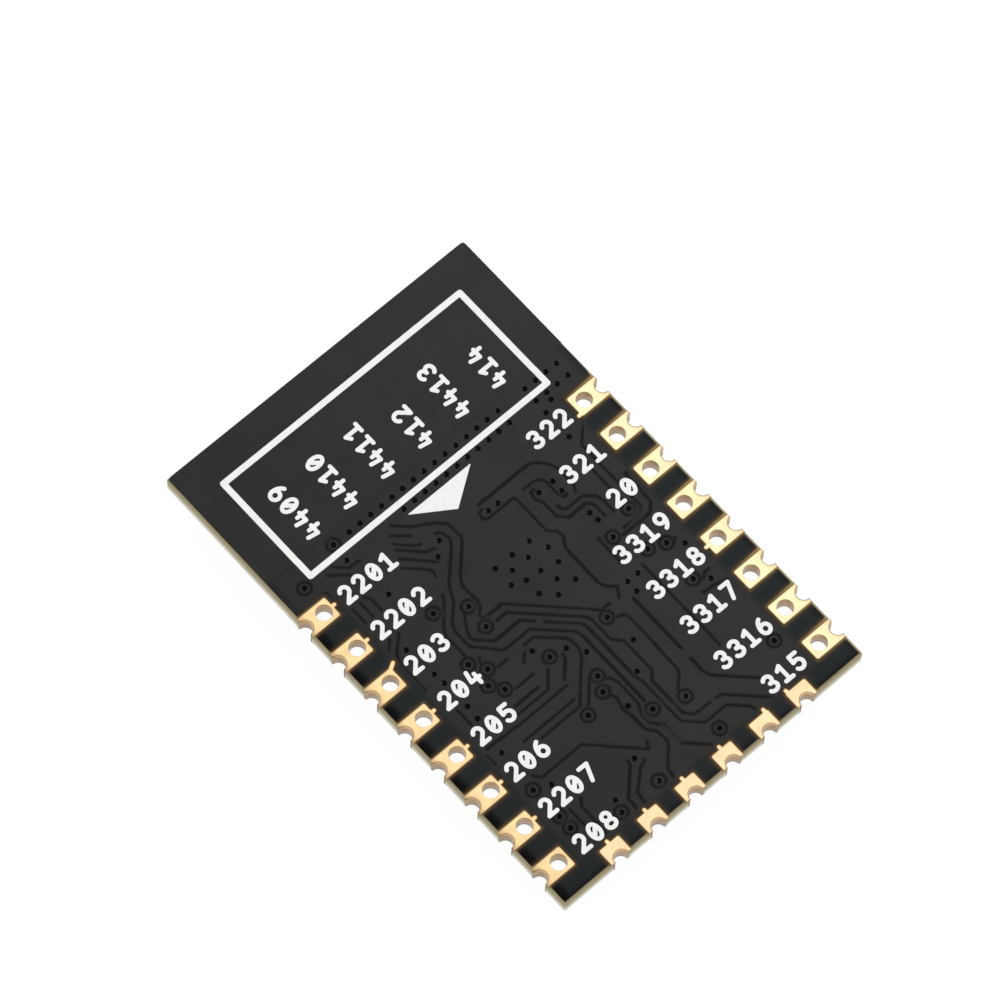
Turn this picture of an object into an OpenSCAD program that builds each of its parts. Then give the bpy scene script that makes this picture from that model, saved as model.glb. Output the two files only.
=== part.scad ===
// Radio module with castellated edge pads, lying on its shield can with the pad side up.
// Millimetres. Z = 0 is the flat face of the can, +Y points to the antenna end and
// +X to the right-hand pad row. The origin is below the middle of the board.

/* [Board] */
// Width of the board
board_w = 16; // [15.6:0.1:17.5]
// Length of the board
board_l = 24; // [23.6:0.1:26]
// Thickness of the glass-fibre laminate alone
laminate_t = 0.7; // [0.5:0.05:1.5]
// Radius of the board's four corners
board_corner_r = 0.1; // [0.05:0.05:0.3]
// Thickness of a copper pad with its gold, and of the mask where it runs over copper
coat_t = 0.05; // [0.04:0.01:0.08]
// Thickness of the mask where no copper lies under it
mask_low_t = 0.025; // [0.015:0.005:0.035]
// Bare laminate left between the mask and the board's edge
mask_pullback = 0.05; // [0.03:0.01:0.15]
// Bare laminate left between the mask and each pad
mask_gap = 0.07; // [0.03:0.01:0.1]

/* [Edge pads] */
// Pads along each long side
side_pads = 8; // [6:1:8]
// Pads along the pin end
end_pads = 6; // [4:1:6]
// Distance from pad to pad
pitch = 2; // [1.9:0.05:2]
// Distance from the pin end to the nearest side pads
end_margin = 1.5; // [1.4:0.05:1.7]
// Length of a side pad, inward from the edge
side_pad_l = 1.55; // [1.5:0.05:1.7]
// Width of a side pad
side_pad_w = 1.02; // [0.95:0.01:1.2]
// Length of an end pad, inward from the edge
end_pad_l = 0.8; // [0.6:0.05:1]
// Width of an end pad
end_pad_w = 1.06; // [0.95:0.01:1.2]
// Corner radius of a pad's inner end
pad_corner_r = 0.1; // [0.05:0.01:0.15]
// Bore of a plated pad hole
hole_d = 0.7; // [0.5:0.05:0.75]
// Distance from the board's edge to the pad holes
hole_inset = 1; // [0.95:0.01:1.05]
// Bore of the half hole in the board's edge
notch_d = 0.66; // [0.5:0.02:0.7]
// Thickness of the copper lining in a hole
plating_t = 0.05; // [0.03:0.01:0.06]
// Length of the bare track that leaves a pad
neck_l = 0.2; // [0.1:0.05:0.3]
// Width of that track
neck_w = 0.24; // [0.15:0.01:0.3]

/* [Printed marks] */
// Distance from the board's edges to the printed frame
frame_margin = 1.5; // [1.3:0.1:2]
// Distance from the first side pads to the frame
frame_gap = 0.9; // [0.8:0.05:1.1]
// Width of the frame's line
frame_line = 0.27; // [0.15:0.01:0.35]
// Thickness of the print above the mask
print_t = 0.015; // [0.01:0.005:0.03]
// Width of the printed triangle
mark_w = 3.4; // [2.5:0.1:4]
// Height of the printed triangle
mark_h = 1.15; // [0.8:0.05:1.3]
// Distance from the frame to the triangle
mark_gap = 0.45; // [0.4:0.05:0.6]

/* [Copper pour and tracks] */
// Distance from the middle of the first side pads to the copper-free antenna zone
zone_gap = 2.4; // [2.2:0.1:2.6]
// Distance from the board's edge to the copper pour beside the antenna zone
pour_margin = 0.3; // [0.2:0.05:0.4]
// Distance from the pads to the copper pour
pour_gap = 0.15; // [0.1:0.05:0.3]
// Width of the gap between a track and the pour
slot_w = 0.13; // [0.08:0.01:0.16]
// Diameter of a via's dimple at the mask's surface
via_d = 0.28; // [0.2:0.02:0.32]
// Diameter at the bottom of the dimple
via_floor_d = 0.16; // [0.1:0.02:0.18]
// Depth of the dimple
via_depth = 0.035; // [0.02:0.005:0.035]
// Middle diameter of the gap round a via that is cut off from the pour
ring_d = 0.58; // [0.5:0.02:0.64]
// Distance from via to via in the fence along the antenna zone
fence_pitch = 0.57; // [0.5:0.01:0.6]
// Distance from the antenna zone to the fence
fence_gap = 0.45; // [0.4:0.05:0.5]
// Distance between the two rows of the fence
fence_row_gap = 0.7; // [0.5:0.05:0.8]

/* [Shield can] */
// Height of the can
can_h = 2.2; // [2.1:0.05:2.6]
// Thickness of the can's sheet
can_t = 0.15; // [0.1:0.01:0.18]
// Radius of the can's upright corners
can_corner_r = 0.8; // [0.6:0.05:1]
// Radius of the bend round the can's flat face
can_bend_r = 0.4; // [0.3:0.05:0.5]
// Width of the copper ring that the can is soldered to
ring_w = 0.55; // [0.4:0.05:0.7]
// Clearance between the copper ring and the pads
ring_gap = 0.175; // [0.1:0.025:0.25]
// Length of the strip between the can and the antenna zone
strip_l = 1.65; // [1.6:0.05:2]

/* [Antenna] */
// Width of the antenna track
antenna_w = 0.5; // [0.4:0.05:0.6]
// Number of upright strokes in the antenna
antenna_strokes = 9; // [7:2:9]
// Distance from the board's long sides to the antenna
antenna_side = 2.35; // [2:0.05:2.6]
// Distance from the edge of the antenna zone to the strokes
antenna_gap = 0.4; // [0.3:0.05:0.6]
// Distance from the antenna end to the antenna
antenna_margin = 0.8; // [0.6:0.05:1]
// Space between neighbouring parts in the strip below the antenna
part_gap = 0.6; // [0.5:0.05:0.8]
// Width of the tinned copper under the ends of those parts
land = 0.55; // [0.5:0.01:0.6]

/* [Chips] */
// Clearance between the can's wall and the parts beside it
wall_gap = 0.15; // [0.1:0.01:0.2]
// Clearance between neighbouring parts under the can
chip_gap = 0.45; // [0.4:0.01:0.5]
// Side of the square radio chip
radio_w = 5; // [4.8:0.1:5.2]
// Height of the radio chip
radio_h = 0.85; // [0.75:0.05:1]
// Contacts along each side of the radio chip
contacts = 8; // [6:2:8]
// Distance from contact to contact
contact_pitch = 0.5; // [0.4:0.01:0.55]
// Width of a contact
contact_w = 0.25; // [0.2:0.01:0.3]
// How far a contact reaches in under the radio chip
contact_l = 0.4; // [0.3:0.05:0.6]
// Height of a contact
contact_h = 0.2; // [0.15:0.01:0.25]
// How far a contact stands out of the chip's side
contact_out = 0.03; // [0.01:0.01:0.05]
// Diameter of the dot that marks the first contact
dot_d = 0.6; // [0.4:0.05:0.8]
// Depth of the dot
dot_depth = 0.05; // [0.03:0.01:0.08]
// Width of the flash chip's body
flash_w = 5.2; // [5:0.1:5.4]
// Length of the flash chip's body
flash_l = 5.2; // [5:0.1:5.4]
// Height of the flash chip's body
flash_body_h = 1.65; // [1.5:0.05:1.75]
// How far the body's sides lean in above and below the leads
flash_lean = 0.12; // [0.08:0.01:0.2]
// Clearance below the flash chip's body
flash_standoff = 0.1; // [0.05:0.01:0.15]
// How far a lead reaches out from the flash chip's body
lead_reach = 1.3; // [1.2:0.05:1.4]
// Distance from lead to lead
lead_pitch = 1.27; // [1.2:0.01:1.3]
// Width of a lead
lead_w = 0.42; // [0.3:0.02:0.5]
// Thickness of a lead
lead_t = 0.15; // [0.1:0.01:0.2]
// Length of a lead's foot
foot_l = 0.6; // [0.5:0.05:0.7]
// Length of the straight stretch between the body and a lead's bend
shoulder_l = 0.25; // [0.2:0.01:0.3]

/* [Crystal, lamp and small parts] */
// Length of the crystal
crystal_l = 3.2; // [3:0.1:3.4]
// Width of the crystal
crystal_w = 2.5; // [2.3:0.1:2.6]
// Height of the crystal's ceramic base
crystal_base_h = 0.45; // [0.3:0.05:0.5]
// Height of the crystal's metal lid
crystal_lid_h = 0.25; // [0.2:0.05:0.3]
// Rim of ceramic round the lid
crystal_rim = 0.25; // [0.2:0.01:0.3]
// Corner radius of the lid
crystal_lid_r = 0.3; // [0.2:0.05:0.4]
// Radius of the hollows in the base's corners
crystal_hollow_r = 0.2; // [0.15:0.01:0.25]
// Length of a small capacitor, resistor or coil
chip_l = 1; // [0.9:0.05:1.1]
// Width and height of a small capacitor or coil
chip_w = 0.5; // [0.45:0.05:0.55]
// Height of a small resistor
resistor_h = 0.35; // [0.3:0.05:0.4]
// Length of each metal end cap
cap_l = 0.25; // [0.2:0.05:0.3]
// How far the end caps stand proud of the body
cap_proud = 0.02; // [0.01:0.005:0.03]
// Length of the lamp
lamp_l = 1.6; // [1.5:0.1:1.7]
// Width of the lamp
lamp_w = 0.8; // [0.7:0.05:0.9]
// Height of the lamp's base
lamp_base_h = 0.25; // [0.2:0.05:0.3]
// Height of the lamp's clear lens
lamp_lens_h = 0.35; // [0.3:0.05:0.4]
// Length of each of the lamp's contacts
lamp_contact_l = 0.35; // [0.3:0.01:0.4]
// Distance from the end of the lamp to its lens
lamp_lens_inset = 0.2; // [0.15:0.01:0.25]

/* [Hidden] */
// Facets of a round outline
$fn = 32;
// How far a cut or an opening runs past the face that it goes through
past = 0.5;

// Heights, from the can's face up
under_z = can_h;
laminate_z = under_z + coat_t;
top_z = laminate_z + laminate_t;
face_z = top_z + coat_t;

// Places of the pads
last_pad_y = -board_l / 2 + end_margin;
first_pad_y = last_pad_y + (side_pads - 1) * pitch;
rows_y = (first_pad_y + last_pad_y) / 2;
pad_count = 2 * side_pads + end_pads;
wall_d = hole_d + 2 * plating_t;
notch_wall_d = notch_d + 2 * plating_t;
// Where the bare track leaves each pad, looking inward, as a share of half its width. A pad
// with no bare track has none.
none = undef;
neck_at = concat(
    [0, 0, 0.75, 0, 0, 0, 0, none],
    [0, 0, 0, 0, -0.72, 0.75],
    [none, none, none, 0, none, none, none, 0.75]);

// Places of the copper and the print
zone_y = first_pad_y + zone_gap;
pour_x = board_w / 2 - side_pad_l - pour_gap;
pour_end_y = -board_l / 2 + end_pad_l + pour_gap;
pour_side_x = board_w / 2 - pour_margin;
pour_side_y = first_pad_y + side_pad_w / 2 + pour_gap;
frame_w = board_w - 2 * frame_margin;
frame_top_y = board_l / 2 - frame_margin;
frame_low_y = first_pad_y + side_pad_w / 2 + frame_gap;

// The can, between the pads and the antenna zone
can_w = board_w - 2 * (side_pad_l + ring_gap) - ring_w;
can_low_y = -board_l / 2 + end_pad_l + ring_gap + ring_w / 2;
can_top_y = zone_y - strip_l;
can_l = can_top_y - can_low_y;
can_y = (can_top_y + can_low_y) / 2;

// Places under the can: the flash chip at the pin end, then a row of resistors, then the
// crystal, the radio chip and a column of capacitors side by side
wall_reach = can_t + wall_gap;
flash_at = [0, can_low_y + wall_reach + flash_l / 2];
resistor_y = flash_at[1] + flash_l / 2 + chip_gap + chip_w / 2;
radio_reach = radio_w / 2 + contact_out;
crystal_x = -can_w / 2 + wall_reach + crystal_l / 2;
radio_at = [crystal_x + crystal_l / 2 + chip_gap + radio_reach,
    resistor_y + chip_w / 2 + chip_gap + radio_reach];
crystal_at = [crystal_x, radio_at[1] + (radio_w - crystal_w) / 2];
chip_step = chip_l + chip_gap;
column_x = radio_at[0] + radio_reach + chip_gap + chip_w / 2;
beside_flash_x = flash_w / 2 + lead_reach + chip_gap + chip_w / 2;
capacitors = concat(
    [for (k = [-1.5 : 1.5]) [column_x, radio_at[1] + k * chip_step]],
    [for (side = [-1, 1]) [crystal_x + side * (chip_w + chip_gap) / 2,
        crystal_at[1] - crystal_w / 2 - chip_gap - chip_l / 2]],
    [for (side = [-1, 1]) [side * beside_flash_x, flash_at[1]]]);
resistors = [for (side = [-1, 1]) [side * chip_step / 2, resistor_y]];

// Route of the antenna: a leg up from the coil, then strokes from side to side
antenna_run = board_w - 2 * antenna_side - antenna_w;
function stroke_x(k) = (k / (antenna_strokes - 1) - 0.5) * antenna_run;
strip_y = (can_top_y + ring_w / 2 + zone_y) / 2;
antenna_top_y = board_l / 2 - antenna_margin - antenna_w / 2;
antenna_low_y = zone_y + antenna_gap + antenna_w / 2;
antenna_route = concat(
    [[stroke_x(0), strip_y + land / 2]],
    [for (k = [0 : antenna_strokes - 1], end = [0, 1])
        if (k > 0 || end == 1)
            [stroke_x(k), (k + end) % 2 == 0 ? antenna_low_y : antenna_top_y]]);

// Places of the parts in the strip between the can and the antenna zone
cap_reach = (chip_l - cap_l) / 2;
coil_at = [stroke_x(0) + cap_reach, strip_y];
matching_at = [coil_at[0] + chip_l + part_gap, strip_y];
lamp_at = [board_w / 2 - side_pad_l - lamp_l, strip_y];
lamp_resistor_at = [lamp_at[0] - lamp_l / 2 - part_gap - chip_l / 2, strip_y];

// The layout of the tracks and vias is drawn in half pitches from the middle of the pad rows
grid = pitch / 2;

// Vias in the open pour
plain_vias = [
    [-0.6, 3.9], [0.3, 3.9], [1.2, 3.9], [-0.15, 3.4], [0.7, 3.4], [1.6, 3.2],
    [-0.6, 2.95], [0, 2.7], [0.7, 2.65], [1.5, 2.45], [0, 1.95], [0.95, 1.95],
    [0.55, 1.4], [1.5, 1.45], [0.85, 5.95], [1.35, 5.95], [2.9, 5.2], [3.65, 5.2],
    [3.65, 4.65], [3.85, 3.2], [3.9, 2.75], [5.45, 6.2], [5.45, 7.6], [6, 7.9],
    [3, 0], [3.55, 0], [3, -0.55], [5.85, -0.3], [5.6, -2.1], [1.5, -2], [0.7, -3.1],
    [-0.25, -1.15], [-0.75, -0.5], [-0.55, -3.95], [-1.85, -5.75], [-3.6, -6.55],
    [-4.55, 5.9], [-5.6, 3.65], [-5.45, 2.15], [-5.4, 1.6], [-5.35, 0.25],
    [-5.4, -0.4], [-5.65, -2.1], [-5.05, -4.4], [-1.85, 0.3], [-2, 5.8], [-1.5, 6.3],
    [-4.85, 8.1]];
// Vias that a round gap cuts off from the pour
ring_vias = [
    [-4.8, 8.95], [-6.9, 8.3], [-3.75, 4.1], [-2.5, 3.4], [-2.55, 2.3], [-4.15, 1.55],
    [-3.7, 0.9], [-4.15, 0.35], [-3.75, -0.2], [-1.5, -0.35], [1.35, -0.6],
    [-0.6, -2.2], [-0.9, -2.85], [-2, -3.2], [0.1, -4.7], [1.45, -5.15], [1.55, -7.05],
    [-1.75, -7.1], [-3.75, -7.1], [-5.75, -4.1], [-5.7, -5.6], [-5.7, -6.25],
    [3.85, 1.8], [5.15, 2.3], [4.55, 0.5], [5.3, 0.2], [5.05, -1.65], [5.7, -5.75]];
// Vias of the fence along the antenna zone: first x, row and number
fence = [[-3.95, 0, 15], [5.5, 0, 4], [-1.65, 1, 11], [5.5, 1, 4]];

// Gaps in the copper: upper right
slots_ne = [
    [[0.65, 6.4], [3.4, 6.4], [3.65, 6.3], [4.05, 5.85], [4.2, 5.4], [4.2, 4.5], [4, 4.2]],
    [[0.75, 6.2], [0.5, 6.1], [0.45, 5.85], [0.6, 5.7], [2, 5.7], [2.05, 5.5], [2.05, 3.75],
     [2.35, 3.45], [2.4, 3.15], [2.15, 2.8], [2.1, 2.5], [2.1, 0.7], [2.2, 0.45],
     [2.55, 0.1], [2.25, -0.35]],
    [[2.5, 5.7], [3.1, 5.7], [3.35, 5.55], [3.45, 5.3], [3.45, 4.6], [3.55, 4.4], [3.8, 4.4]],
    [[2.9, 5.45], [2.65, 5.4], [2.6, 5.1], [2.75, 4.8], [2.75, 4], [3.1, 3.6], [4, 3.6],
     [4.2, 3.45], [4.25, 3.2], [4.25, 2.65]],
    [[3.1, 4.35], [3.1, 4.1], [3.25, 3.95], [4.15, 3.95], [4.55, 3.55], [4.65, 3.2], [4.65, 2.5]],
    [[6.25, 6.25], [5.6, 5.6], [5.6, 2.1], [5.4, 1.85], [4.4, 1.8]],
    [[5.2, 5.4], [5.2, 2.7]],
    [[6.1, 3.6], [6.05, 1.95], [5.7, 1.6], [4.2, 1.6]],
    [[3.4, 2.25], [3.35, 1.9], [3.35, 0.7]],
    [[3.95, 0.2], [3.95, -4.5]],
    [[5.5, -0.05], [5.8, 0.2]]];
// Upper left, with the bundle that runs down to the middle
slots_nw = [
    [[-2.55, 8.1], [-1.95, 7.5], [-1.1, 6.95], [-0.75, 6.6], [-0.7, 5.85], [-0.85, 5.6],
     [-1.9, 4.55], [-2.1, 4.2], [-2.05, 3.35], [-2.1, 3.1], [-2.4, 2.85], [-2.4, 2.7],
     [-2.15, 2.6], [-1.4, 2.6], [1.1, 0.1], [1.35, -0.2], [1.9, -0.25]],
    [[-1.45, 6.65], [-1.2, 6.5], [-1.1, 6.05], [-1.3, 5.75], [-2.5, 4.55], [-2.75, 4],
     [-3.5, 3.25], [-3.6, 2.9], [-3.6, 2.1], [-2.7, 1.1], [-2.5, 1.05], [-1.3, 1.05],
     [0, -0.2], [0.1, -0.5], [0.1, -4.3]],
    [[-2.8, 3.3], [-3.2, 2.7], [-3.35, 2.35], [-3.2, 2.1], [-2.65, 1.6], [-1.35, 1.6],
     [-0.9, 1.15]],
    [[-2.1, 2.2], [-1.5, 2.2], [0.75, -0.05], [0.85, -0.3], [0.85, -1.4], [1.2, -1.8],
     [1.2, -3.45], [0.9, -3.8], [0.9, -5.6], [1.2, -5.95], [2.05, -6]],
    [[-2.9, 4.5], [-3.15, 4.1], [-3.9, 3.3], [-4, 3], [-4, 1.85]],
    [[-2.85, 7.75], [-2.15, 7.15]],
    [[-3, 7.4], [-2.35, 6.75], [-2.1, 6.65]],
    [[-3.1, 7.15], [-2.2, 6.25], [-1.8, 6.15]],
    [[-3.25, 6.8], [-2.1, 5.6]],
    [[-3.45, 6.45], [-2.6, 5.6], [-2.55, 5.4], [-2.65, 5.2]],
    [[-6.05, 6.4], [-6.05, 5.5]],
    [[-5.65, 6.4], [-5.65, 5.5]],
    [[-5.4, 6.5], [-5.2, 6.2], [-5.2, 5.5]],
    [[-5.75, 4.45], [-6.25, 3.95]],
    [[-5.3, 4.4], [-6, 3.75], [-6.15, 3.4], [-6.15, 1.8]],
    [[-5.9, 8.15], [-5.1, 7.5]],
    [[-5.5, 8.3], [-5, 7.8], [-4.4, 7.75]],
    [[-3.8, 1.2], [-3.6, 1.5]]];
// Lower left
slots_sw = [
    [[-2, 0.7], [-1.4, 0.7], [-0.45, -0.2], [-0.35, -0.45], [-0.35, -0.85], [-0.5, -1.15],
     [-2, -2.7], [-4.1, -2.7]],
    [[-0.85, -2], [-1.75, -2.95]],
    [[-4.7, -2.35], [-1.95, -2.35]],
    [[-6, -1.6], [-4.1, -1.7], [-1.75, -1.7]],
    [[-1.75, -1.5], [-1.1, -0.85], [-1, -0.55]],
    [[-4.1, -1.35], [-2.5, -1.35], [-1.85, -0.65]],
    [[-4, -1], [-2.65, -1]],
    [[-3.45, -0.45], [-2.4, -0.45]],
    [[-3.4, 0.7], [-2.8, 0.7]],
    [[-2.5, 0.1], [-2.05, 0.5]],
    [[-5.4, -3.6], [-5.1, -3.95], [-3, -3.95], [-1.15, -5.85], [-0.95, -5.5]],
    [[-0.45, -2.45], [-0.25, -2.65], [-0.15, -3], [-0.15, -4.1], [-0.4, -4.6], [-0.4, -5],
     [0, -5.5], [0, -6.5], [0.9, -7.4]],
    [[-0.75, -3.15], [-0.65, -3.4], [-0.8, -3.95], [-0.7, -4.3], [-0.7, -5.1], [-0.4, -5.5],
     [-0.35, -6.05], [-0.5, -6.3], [-1.15, -6.95], [-1.2, -7.45]],
    [[-2.1, -5.6], [-2.15, -5.85], [-3.15, -6.85], [-3.2, -7.45]],
    [[-1.5, -6.05], [-1.9, -6.2], [-2.7, -6.9], [-2.8, -7.45]],
    [[-5.2, -5.6], [-5.2, -7.4]],
    [[-4.5, -5.55], [-4.75, -5.85], [-4.8, -7.4]],
    [[-5.75, 0.45], [-5.75, -0.5]],
    [[-6.15, -1.8], [-6.15, -2.35]]];
// Lower right
slots_se = [
    [[-0.7, 0.95], [0.4, -0.1], [0.5, -0.4], [0.5, -3.2], [0.6, -3.6], [0.6, -5.8],
     [1.2, -6.4], [1.35, -6.5], [2.45, -6.5], [3.1, -7.15], [3.2, -7.45]],
    [[2.25, -6], [2.6, -6.05], [4.05, -7.5]],
    [[1.65, -0.85], [1.95, -0.95], [2.05, -1.15], [2, -4.1], [1.85, -4.35], [1.4, -4.75]],
    [[2.7, -0.65], [2.7, -3.6]],
    [[2.7, -4.05], [2.7, -4.85], [2.85, -5.2], [4.6, -6.95]],
    [[4.9, -2.35], [5.5, -2.4], [6.15, -2.6]],
    [[5.35, -1.95], [5.6, -1.75], [5.9, -1.75]]];

gold = [0.96, 0.8, 0.55];
silver = [0.78, 0.79, 0.8];
plastic_black = [0.09, 0.09, 0.1];
ceramic = [0.7, 0.58, 0.42];
mask_black = [0.12, 0.13, 0.14];

// ---- Helpers ----

function unit(v) = v / norm(v);
function left_of(v) = [-v[1], v[0]];

// Half the width of a track at one of its bends, as a vector to its left edge
function half_width(route, i, w) =
    let (last = len(route) - 1,
         before = unit(i == 0 ? route[1] - route[0] : route[i] - route[i - 1]),
         after = unit(i == last ? route[i] - route[i - 1] : route[i + 1] - route[i]),
         across = left_of(unit(before + after)))
    across * w / 2 / (across * left_of(before));

// Outline of a track of constant width along a route, with mitred bends
function track(route, w) = concat(
    [for (i = [0 : len(route) - 1]) route[i] + half_width(route, i, w)],
    [for (i = [len(route) - 1 : -1 : 0]) route[i] - half_width(route, i, w)]);

// Rectangle round the origin with round corners
module round_rect(w, l, r) {
    square([w - 2 * r, l], center = true);
    square([w, l - 2 * r], center = true);
    for (x = [-1, 1], y = [-1, 1])
        translate([x * (w / 2 - r), y * (l / 2 - r)]) circle(r);
}

// Tab that runs inward from the board's edge at x = 0, round at its inner corners
module tab(l, w, r, out = 0) {
    translate([-out, -w / 2]) square([l - r + out, w]);
    translate([-out, -w / 2 + r]) square([l + out, w - 2 * r]);
    for (side = [-1, 1])
        translate([l - r, side * (w / 2 - r)]) circle(r);
}

// Puts its children on the component side, with +Z away from the board
module under_board(at = [0, 0], turn = 0) {
    translate([at[0], at[1], under_z]) mirror([0, 0, 1]) rotate([0, 0, turn]) children();
}

// ---- Board and its coats ----

function is_end(n) = n > side_pads && n <= side_pads + end_pads;
function pad_l(n) = is_end(n) ? end_pad_l : side_pad_l;
function pad_w(n) = is_end(n) ? end_pad_w : side_pad_w;
function from_left(n) = n - side_pads - 1 - (end_pads - 1) / 2;
function pad_at(n) =
    n <= side_pads ? [-board_w / 2, last_pad_y + (side_pads - n) * pitch, 0]
    : is_end(n) ? [from_left(n) * pitch, -board_l / 2, 90]
    : [board_w / 2, last_pad_y + (n - side_pads - end_pads - 1) * pitch, 180];

// Puts its children at a pad: x = 0 is the board's edge and +X points inward
module at_pad(n) {
    place = pad_at(n);
    translate([place[0], place[1]]) rotate(place[2]) children();
}

module neck(n) {
    side = neck_at[n - 1];
    if (side != none)
        translate([pad_l(n), side * pad_w(n) / 2])
            polygon([[-pad_corner_r, -neck_w / 2], [neck_l / 2, -neck_w / 2], [neck_l, 0],
                [neck_l / 2, neck_w / 2], [-pad_corner_r, neck_w / 2]]);
}

// Upright cuts through a pad: its round hole and the half hole in the edge
module pad_cuts(n, hole, notch) {
    if (!is_end(n))
        translate([hole_inset, 0, -past]) cylinder(d = hole, h = face_z + 2 * past);
    translate([0, 0, -past]) cylinder(d = notch, h = face_z + 2 * past);
}

module printed_circuit_board() {
    color([0.66, 0.64, 0.45]) difference() {
        translate([0, 0, laminate_z]) linear_extrude(laminate_t)
            round_rect(board_w, board_l, board_corner_r);
        for (n = [1 : pad_count]) at_pad(n) pad_cuts(n, wall_d, notch_wall_d);
    }
}

// Gold pad: a face on each side of the board, joined by the linings of its holes
module pad(n) {
    color(gold) at_pad(n) difference() {
        union() {
            translate([0, 0, top_z]) linear_extrude(coat_t) {
                tab(pad_l(n), pad_w(n), pad_corner_r);
                neck(n);
            }
            translate([0, 0, under_z]) linear_extrude(coat_t)
                tab(pad_l(n), pad_w(n), pad_corner_r);
            if (!is_end(n))
                translate([hole_inset, 0, under_z]) cylinder(d = wall_d, h = face_z - under_z);
            intersection() {
                translate([0, 0, under_z]) cylinder(d = notch_wall_d, h = face_z - under_z);
                translate([0, -notch_wall_d, 0]) cube([notch_wall_d, 2 * notch_wall_d, face_z]);
            }
        }
        pad_cuts(n, hole_d, notch_d);
    }
}

module mask_outline() {
    difference() {
        round_rect(board_w - 2 * mask_pullback, board_l - 2 * mask_pullback, board_corner_r);
        for (n = [1 : pad_count]) at_pad(n) {
            tab(pad_l(n) + mask_gap, pad_w(n) + 2 * mask_gap, pad_corner_r + mask_gap, past);
            circle(d = notch_wall_d + 2 * mask_gap);
        }
    }
}

// The part of the solder side that has copper under the mask
module pour_outline() {
    translate([-pour_side_x, pour_side_y]) square([2 * pour_side_x, zone_y - pour_side_y]);
    translate([-pour_x, pour_end_y]) square([2 * pour_x, zone_y - pour_end_y]);
}

module slots() {
    for (route = concat(slots_ne, slots_nw, slots_sw, slots_se))
        polygon(track(route * grid, slot_w));
    for (place = ring_vias) translate(place * grid) difference() {
        circle(d = ring_d + slot_w, $fn = 12);
        circle(d = ring_d - slot_w, $fn = 12);
    }
}

module dimple() {
    translate([0, 0, -via_depth])
        cylinder(d1 = via_floor_d, d2 = 2 * via_d - via_floor_d, h = 2 * via_depth);
}

module vias() {
    for (place = concat(plain_vias, ring_vias)) translate(place * grid) dimple();
}

module fence_vias() {
    for (row = fence, k = [0 : row[2] - 1])
        translate([row[0] * grid + k * fence_pitch, -row[1] * fence_row_gap]) dimple();
}

// Mask on the pad side: a thin sheet, raised where copper lies under it
module solder_mask() {
    color(mask_black) difference() {
        union() {
            translate([0, 0, top_z]) linear_extrude(mask_low_t) difference() {
                mask_outline();
                for (n = [1 : pad_count]) at_pad(n) neck(n);
            }
            translate([0, 0, top_z]) linear_extrude(coat_t) difference() {
                intersection() {
                    mask_outline();
                    pour_outline();
                }
                for (n = [1 : pad_count]) at_pad(n) neck(n);
                translate([0, rows_y]) slots();
            }
        }
        translate([0, rows_y, face_z]) vias();
        translate([0, zone_y - fence_gap, face_z]) fence_vias();
    }
}

// ---- Printed marks ----

// Keeps what lies above the mask, which is higher over the copper
module on_mask() {
    difference() {
        translate([0, 0, top_z + mask_low_t])
            linear_extrude(coat_t - mask_low_t + print_t) children();
        translate([0, 0, top_z]) linear_extrude(coat_t) pour_outline();
    }
}

module printed_frame() {
    frame_l = frame_top_y - frame_low_y;
    color("white") on_mask() translate([0, (frame_top_y + frame_low_y) / 2]) difference() {
        square([frame_w, frame_l], center = true);
        square([frame_w - 2 * frame_line, frame_l - 2 * frame_line], center = true);
    }
}

module printed_triangle() {
    color("white") on_mask() translate([0, frame_low_y - mark_gap])
        polygon([[-mark_w / 2, 0], [mark_w / 2, 0], [0, -mark_h]]);
}

// ---- Component side ----

module antenna_outline(grow = 0) {
    polygon(track(antenna_route, antenna_w + 2 * grow));
}

module antenna() {
    color(gold) translate([0, 0, under_z]) linear_extrude(coat_t) antenna_outline();
}

module ring_outline(grow = 0) {
    wider = ring_w / 2 + grow;
    translate([0, can_y]) difference() {
        round_rect(can_w + 2 * wider, can_l + 2 * wider, can_corner_r + wider);
        round_rect(can_w - 2 * wider, can_l - 2 * wider, can_corner_r - wider);
    }
}

module shield_ring() {
    color(gold) translate([0, 0, under_z]) linear_extrude(coat_t) ring_outline();
}

module component_mask() {
    color(mask_black) translate([0, 0, under_z]) linear_extrude(coat_t) difference() {
        mask_outline();
        ring_outline(mask_gap);
        antenna_outline(mask_gap);
        lands_outline(mask_gap);
    }
}

// Section through the can's wall from the middle of a corner outward: face, bend and side
module can_section() {
    bend_x = can_corner_r - can_bend_r;
    square([bend_x, can_t]);
    translate([can_corner_r - can_t, can_bend_r]) square([can_t, can_h - can_bend_r]);
    translate([bend_x, can_bend_r]) intersection() {
        difference() {
            circle(can_bend_r);
            circle(can_bend_r - can_t);
        }
        translate([0, -can_bend_r]) square(can_bend_r);
    }
}

// Drawn sheet can: flat face down, open towards the board
module shield_can() {
    straight = [can_w - 2 * can_corner_r, can_l - 2 * can_corner_r];
    color(silver) translate([0, can_y, 0]) {
        linear_extrude(can_t) square(straight, center = true);
        for (side = [0 : 3]) {
            reach = straight[side % 2] / 2;
            run = straight[(side + 1) % 2];
            rotate(90 * side) translate([reach, run / 2, 0]) {
                rotate([90, 0, 0]) linear_extrude(run) can_section();
                rotate_extrude(angle = 90) can_section();
            }
        }
    }
}

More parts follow.
